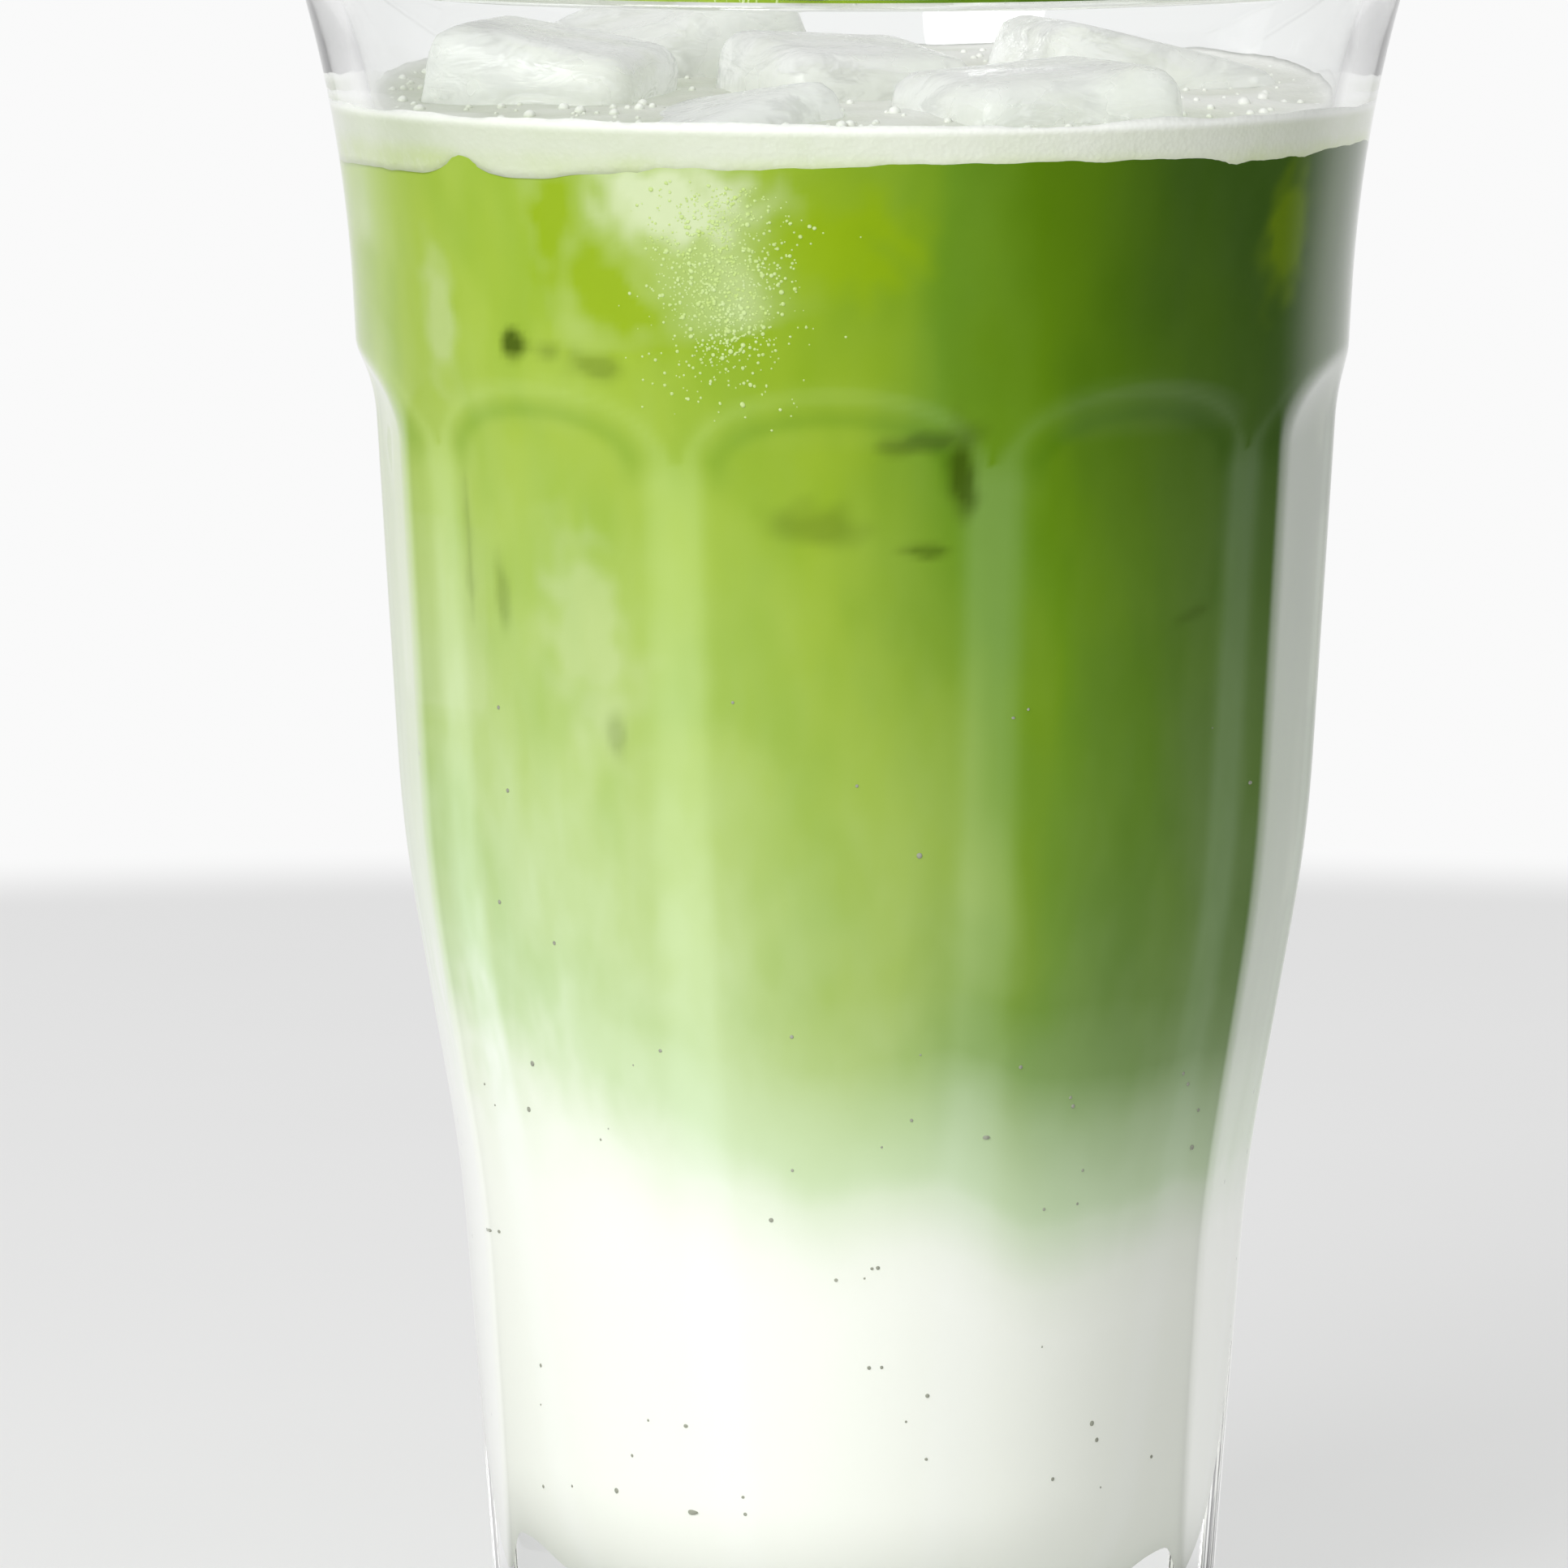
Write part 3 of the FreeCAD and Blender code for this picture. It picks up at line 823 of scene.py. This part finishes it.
def cut_round_ice(thing):
    """Takes the ice cubes' room out of a piece."""
    for name in ICE_NODES:
        cutter = bpy.data.objects.new("room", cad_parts[name].data.copy())
        bpy.context.collection.objects.link(cutter)
        modifier = thing.modifiers.new("room", "BOOLEAN")
        modifier.operation, modifier.solver, modifier.object = "DIFFERENCE", "EXACT", cutter
        settle(thing)
        bpy.data.objects.remove(cutter)


def froth_height(x, y, d):
    """Top of the froth: uneven, and drawn up a little along the wall."""
    place = Vector((x * 70, y * 70, 3.1))
    lift = noise.noise(place) + 0.5 * noise.noise(place * 2.7) + 0.2 * noise.noise(place * 8.0)
    return FROTH_HIGH.z + d.froth_relief * 0.55 * lift


def froth_foot(angle, d):
    """Lower edge of the froth at the wall: deeper on the pale side, with a few hanging curds."""
    place = Vector((math.cos(angle) * 2.2, math.sin(angle) * 2.2, 9.0))
    curd = noise.noise(place) + 0.5 * noise.noise(place * 3.0) + 0.25 * noise.noise(place * 9.0)
    side = math.cos(angle)
    peak = 0.0014 * math.exp(-((math.degrees(angle) % 360 - 220) / 4) ** 2)
    return FROTH_LOW.z + 0.0010 - 0.0012 * side ** 2 + 0.0007 * side + peak - d.froth_relief * 0.6 * curd


def wall_table(s, d):
    heights = np.linspace(MILK_LOW.z, GLASS_HIGH.z, 600)
    return heights, inner_radius(s, heights, d.bite)


def build_froth(s, d):
    """The froth as one closed layer: out along its foot, up the wall, and in over its top."""
    wall = wall_table(s, d)
    low, high = FROTH_LOW.z, FROTH_HIGH.z
    angles = np.linspace(0, 2 * math.pi, 300, endpoint=False)
    feet = [froth_foot(a, d) for a in angles]
    rows = []
    for share_in in np.linspace(0.1, 1.0, 10):
        radius = float(inner_radius(s, low, d.bite)) * share_in
        rows.append([(radius * math.cos(a), radius * math.sin(a),
                      low - 0.0004 + (foot - low) * share_in ** 3) for a, foot in zip(angles, feet)])
    for t in np.arange(1, 12) / 12:
        row = []
        for a, foot in zip(angles, feet):
            z = foot * (1 - t) + (high + 0.0002) * t
            radius = float(np.interp(z, *wall)) + 0.00008
            row.append((radius * math.cos(a), radius * math.sin(a), z))
        rows.append(row)
    for share_in in np.linspace(1.0, 0.02, 60):
        radius = float(np.interp(high, *wall)) * share_in
        climb = 0.0007 * math.exp(-(1 - share_in) * 40 / 1.2)
        places = [(radius * math.cos(a), radius * math.sin(a)) for a in angles]
        rows.append([(x, y, froth_height(x, y, d) + climb) for x, y in places])
    return revolved("froth_layer", np.array(rows))


def ball_at_wall(wall, angle, height, radius, flatness, raised=0.0):
    """A small ball at the drink's side, flat towards the wall."""
    out = np.array([math.cos(angle), math.sin(angle), 0.0])
    return out * (float(np.interp(height, *wall)) + raised) + np.array([0, 0, height]), radius, out, flatness


# ---------------- operators

def chosen(context):
    """The settings of the tumbler, the drink and the ice."""
    scene = context.scene
    return scene.greentea_tumbler, scene.greentea_drink, scene.greentea_ice


class GREENTEA_OT_tumbler(Operator):
    """Makes the pressed tumbler with its arched facets"""
    bl_idname = "greentea.tumbler"
    bl_label = "Tumbler"

    def execute(self, context):
        s = context.scene.greentea_tumbler
        finish(build_tumbler(s), "glass", pressed_glass(s), "glass")
        return {"FINISHED"}


class GREENTEA_OT_drink(Operator):
    """Makes the milk and the tea as layers that turn into each other"""
    bl_idname = "greentea.drink"
    bl_label = "Milk and tea"

    def execute(self, context):
        s, d, c = chosen(context)
        milk = build_layer("milk_layer", s, d, MILK_LOW.z - d.bite, TEA_LOW.z, 360, 0.0008)
        tea = build_layer("tea_layer", s, d, TEA_LOW.z, TEA_HIGH.z + d.rise, 420, 0.0006)
        for layer in (milk, tea):
            mark_drink(layer, c, s, d)
        finish(milk, "milk", drink_material("milk", d), "milk")
        finish(tea, "green_tea", drink_material("green_tea", d), "green_tea")
        return {"FINISHED"}


class GREENTEA_OT_froth(Operator):
    """Makes the froth with its bubbles"""
    bl_idname = "greentea.froth"
    bl_label = "Froth"

    def execute(self, context):
        s, d, _ = chosen(context)
        layer = build_froth(s, d)
        cut_round_ice(layer)
        finish(layer, "froth", froth_material(d), "froth")
        rng = np.random.default_rng(d.seed + 1)
        tree = BVHTree.FromPolygons(*joined(ice_envelopes()))
        wall, edge, balls = 0.0412, 0.0415, []
        while len(balls) < d.bubbles:
            angle = rng.uniform(0, 2 * math.pi)
            if rng.random() < 0.5:
                radius = edge * (1 - abs(rng.normal(0, 0.16)))
            else:
                radius = edge * math.sqrt(rng.random())
            size = min(0.0005, 0.00017 * math.exp(abs(rng.normal(0, 0.65))))
            x, y = radius * math.cos(angle), radius * math.sin(angle)
            z = froth_height(x, y, d)
            to_ice = tree.find_nearest(Vector((x, y, z)))[3]
            if radius + size <= wall and to_ice >= size:
                balls.append(((x, y, z + size * 0.1), size))
        finish(joined_balls("froth_bubbles", balls), "froth", froth_material(d))
        return {"FINISHED"}


class GREENTEA_OT_ice(Operator):
    """Makes the ice cubes that break the surface"""
    bl_idname = "greentea.ice"
    bl_label = "Ice"

    def execute(self, context):
        c = context.scene.greentea_ice
        material = ice_material(c)
        for number, name in enumerate(ICE_NODES):
            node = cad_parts[name]
            cube = bpy.data.objects.new(name.replace("ice_", "cube_"), node.data.copy())
            bpy.context.collection.objects.link(cube)
            remesh = cube.modifiers.new("even", "REMESH")
            remesh.mode, remesh.voxel_size = "VOXEL", 0.0009
            settle(cube)
            for vertex in cube.data.vertices:
                place = vertex.co * 110 + Vector((number * 3.7, 0, 0))
                wobble = noise.noise(place) + 0.4 * noise.noise(place * 2.6)
                vertex.co += vertex.normal * (c.melt * 0.5 * wobble + 0.00005)
            cube.data.polygons.foreach_set("use_smooth", [True] * len(cube.data.polygons))
            finish(cube, "ice", material, name)
        return {"FINISHED"}


class GREENTEA_OT_beads(Operator):
    """Makes the fine beads at the wall and the tea dust in the milk"""
    bl_idname = "greentea.beads"
    bl_label = "Beads and tea dust"

    def execute(self, context):
        s, d, c = chosen(context)
        wall = wall_table(s, d)
        rng = np.random.default_rng(d.seed + 2)
        balls = []
        while len(balls) < c.beads:
            angle, z = math.radians(rng.normal(-105.5, 4.0)), rng.normal(0.1260, 0.0048)
            if not 0.113 < z < TEA_HIGH.z - 0.0005:
                continue
            if rng.random() > 0.65 + 0.75 * noise.noise(Vector((angle * 9, z * 260, 1.0))):
                continue
            size = min(0.00022, 0.00009 * math.exp(rng.normal(0, 0.35)))
            balls.append(ball_at_wall(wall, angle, z, size, 0.45))
        finish(joined_balls("wall_beads", balls), "froth", bead_material())
        balls = []
        while len(balls) < d.specks:
            angle = rng.uniform(0, 2 * math.pi)
            z = rng.uniform(0.018, 0.060) if rng.random() < 0.8 else rng.uniform(0.05, 0.09)
            size = min(0.00025, 0.00017 * math.exp(rng.normal(0, 0.4)))
            balls.append(ball_at_wall(wall, angle, z, size, 0.35, 0.00002))
        finish(joined_balls("tea_dust", balls), "green_tea", speck_material(d))
        return {"FINISHED"}


class GREENTEA_OT_stage(Operator):
    """Makes the floor, the lamps, the surround and the camera"""
    bl_idname = "greentea.stage"
    bl_label = "Stage"

    def execute(self, context):
        scene, t = context.scene, context.scene.greentea_stage
        rings, turns = (0.02, 0.2, 0.35, 0.5, 0.7, 1.0, 1.5, 2.5, 4.0), 48
        angles = np.linspace(0, 2 * math.pi, turns, endpoint=False)
        vertices = [(0.0, 0.0, 0.0)] + [(r * math.cos(a), r * math.sin(a), 0.0) for r in rings for a in angles]
        faces = [(0, 1 + j, 1 + (j + 1) % turns) for j in range(turns)]
        for i in range(1, 1 + turns * (len(rings) - 1), turns):
            for j, k in zip(range(turns), (*range(1, turns), 0)):
                faces.append((i + j, i + turns + j, i + turns + k, i + k))
        floor = mesh_object("floor", vertices, faces)
        n = Nodes("floor")
        seen, mirrored = n.seen_and_mirrored()
        grain = n.mix(n.noise(14, 2.0, 0.6), t.floor, tuple(0.96 * v for v in t.floor))
        matte = n.shade(Base_Color=grain, Roughness=0.6, Specular_IOR_Level=0.1)
        far = n.add("ShaderNodeVectorMath", {0: n.place}, operation="LENGTH").outputs["Value"]
        behind = n.math("DIVIDE", n.axes()["Y"], far)
        dim = n.math("MAXIMUM", n.span(behind, 0.35, 0.75, 0.0, 0.9), n.span(far, 0.16, 0.28, 0.22, 0.0))
        glow, dimmed = (n.add("ShaderNodeEmission", {"Color": WHITE, "Strength": value})
                        for value in (t.far_floor, dim))
        fade = n.span(far, t.fade_start, t.fade_end, t.floor_glow, 1.0)
        faded = n.blend(n.times(fade, seen), matte, glow)
        floor.data.materials.append(n.show(n.blend(mirrored, faded, dimmed)))

        n = Nodes("surround", world=True)
        seen, mirrored = n.seen_and_mirrored()
        dim = n.steady(n.axes()["Y"], 0.40, 0.80, 0.05, 0.95)
        light, view, dimmed = (n.add("ShaderNodeBackground", {"Color": WHITE, "Strength": value})
                               for value in (t.sky, t.backdrop, dim))
        scene.world = n.show(n.blend(mirrored, n.blend(seen, light, view), dimmed))

        def lamp(name, azimuth, away, height, size, power):
            """A soft round lamp that faces the glass."""
            data = bpy.data.lights.new(name, "AREA")
            data.shape, data.size, data.energy = "DISK", size, power
            thing = bpy.data.objects.new(name, data)
            angle = math.radians(azimuth)
            thing.location = (away * math.sin(angle), -away * math.cos(angle), height)
            aim = Vector((0, 0, 0.08))
            thing.rotation_euler = (aim - thing.location).to_track_quat("-Z", "Y").to_euler()
            thing.visible_camera = False
            context.collection.objects.link(thing)

        lamp("key", azimuth=-35, away=0.78, height=0.53, size=0.45, power=t.key)
        lamp("fill", azimuth=-22, away=0.88, height=0.09, size=0.16, power=t.fill)

        data = bpy.data.cameras.new("camera")
        data.lens, data.sensor_width, data.clip_start = t.lens, 36.0, 0.01
        camera = bpy.data.objects.new("camera", data)
        camera.location = (-t.aside, -t.distance, t.height)
        camera.rotation_euler = (math.pi / 2 - t.pitch, 0, 0)
        context.collection.objects.link(camera)
        scene.camera = camera
        scene.view_settings.view_transform = "Standard"
        return {"FINISHED"}


OPERATORS = (GREENTEA_OT_tumbler, GREENTEA_OT_drink, GREENTEA_OT_froth, GREENTEA_OT_ice, GREENTEA_OT_beads,
             GREENTEA_OT_stage)
SETTINGS = {"greentea_tumbler": TumblerSettings, "greentea_drink": DrinkSettings, "greentea_ice": IceSettings,
            "greentea_stage": StageSettings}


class GREENTEA_PT_panel(Panel):
    bl_label = "Iced green tea"
    bl_idname = "GREENTEA_PT_panel"
    bl_space_type = "VIEW_3D"
    bl_region_type = "UI"
    bl_category = "Green Tea"

    def draw(self, context):
        for operator in OPERATORS:
            self.layout.operator(operator.bl_idname)
        for name, group in SETTINGS.items():
            box = self.layout.box()
            box.label(text=group.__name__)
            for prop in group.__annotations__:
                box.prop(getattr(context.scene, name), prop)


def register():
    for group in SETTINGS.values():
        bpy.utils.register_class(group)
    for name, group in SETTINGS.items():
        setattr(bpy.types.Scene, name, PointerProperty(type=group))
    for operator in OPERATORS:
        bpy.utils.register_class(operator)
    bpy.utils.register_class(GREENTEA_PT_panel)


def unregister():
    bpy.utils.unregister_class(GREENTEA_PT_panel)
    for operator in reversed(OPERATORS):
        bpy.utils.unregister_class(operator)
    for name in SETTINGS:
        delattr(bpy.types.Scene, name)
    for group in SETTINGS.values():
        bpy.utils.unregister_class(group)


def main():
    register()
    for operator in OPERATORS:
        family, name = operator.bl_idname.split(".")
        getattr(getattr(bpy.ops, family), name)()


if __name__ == "__main__":
    main()
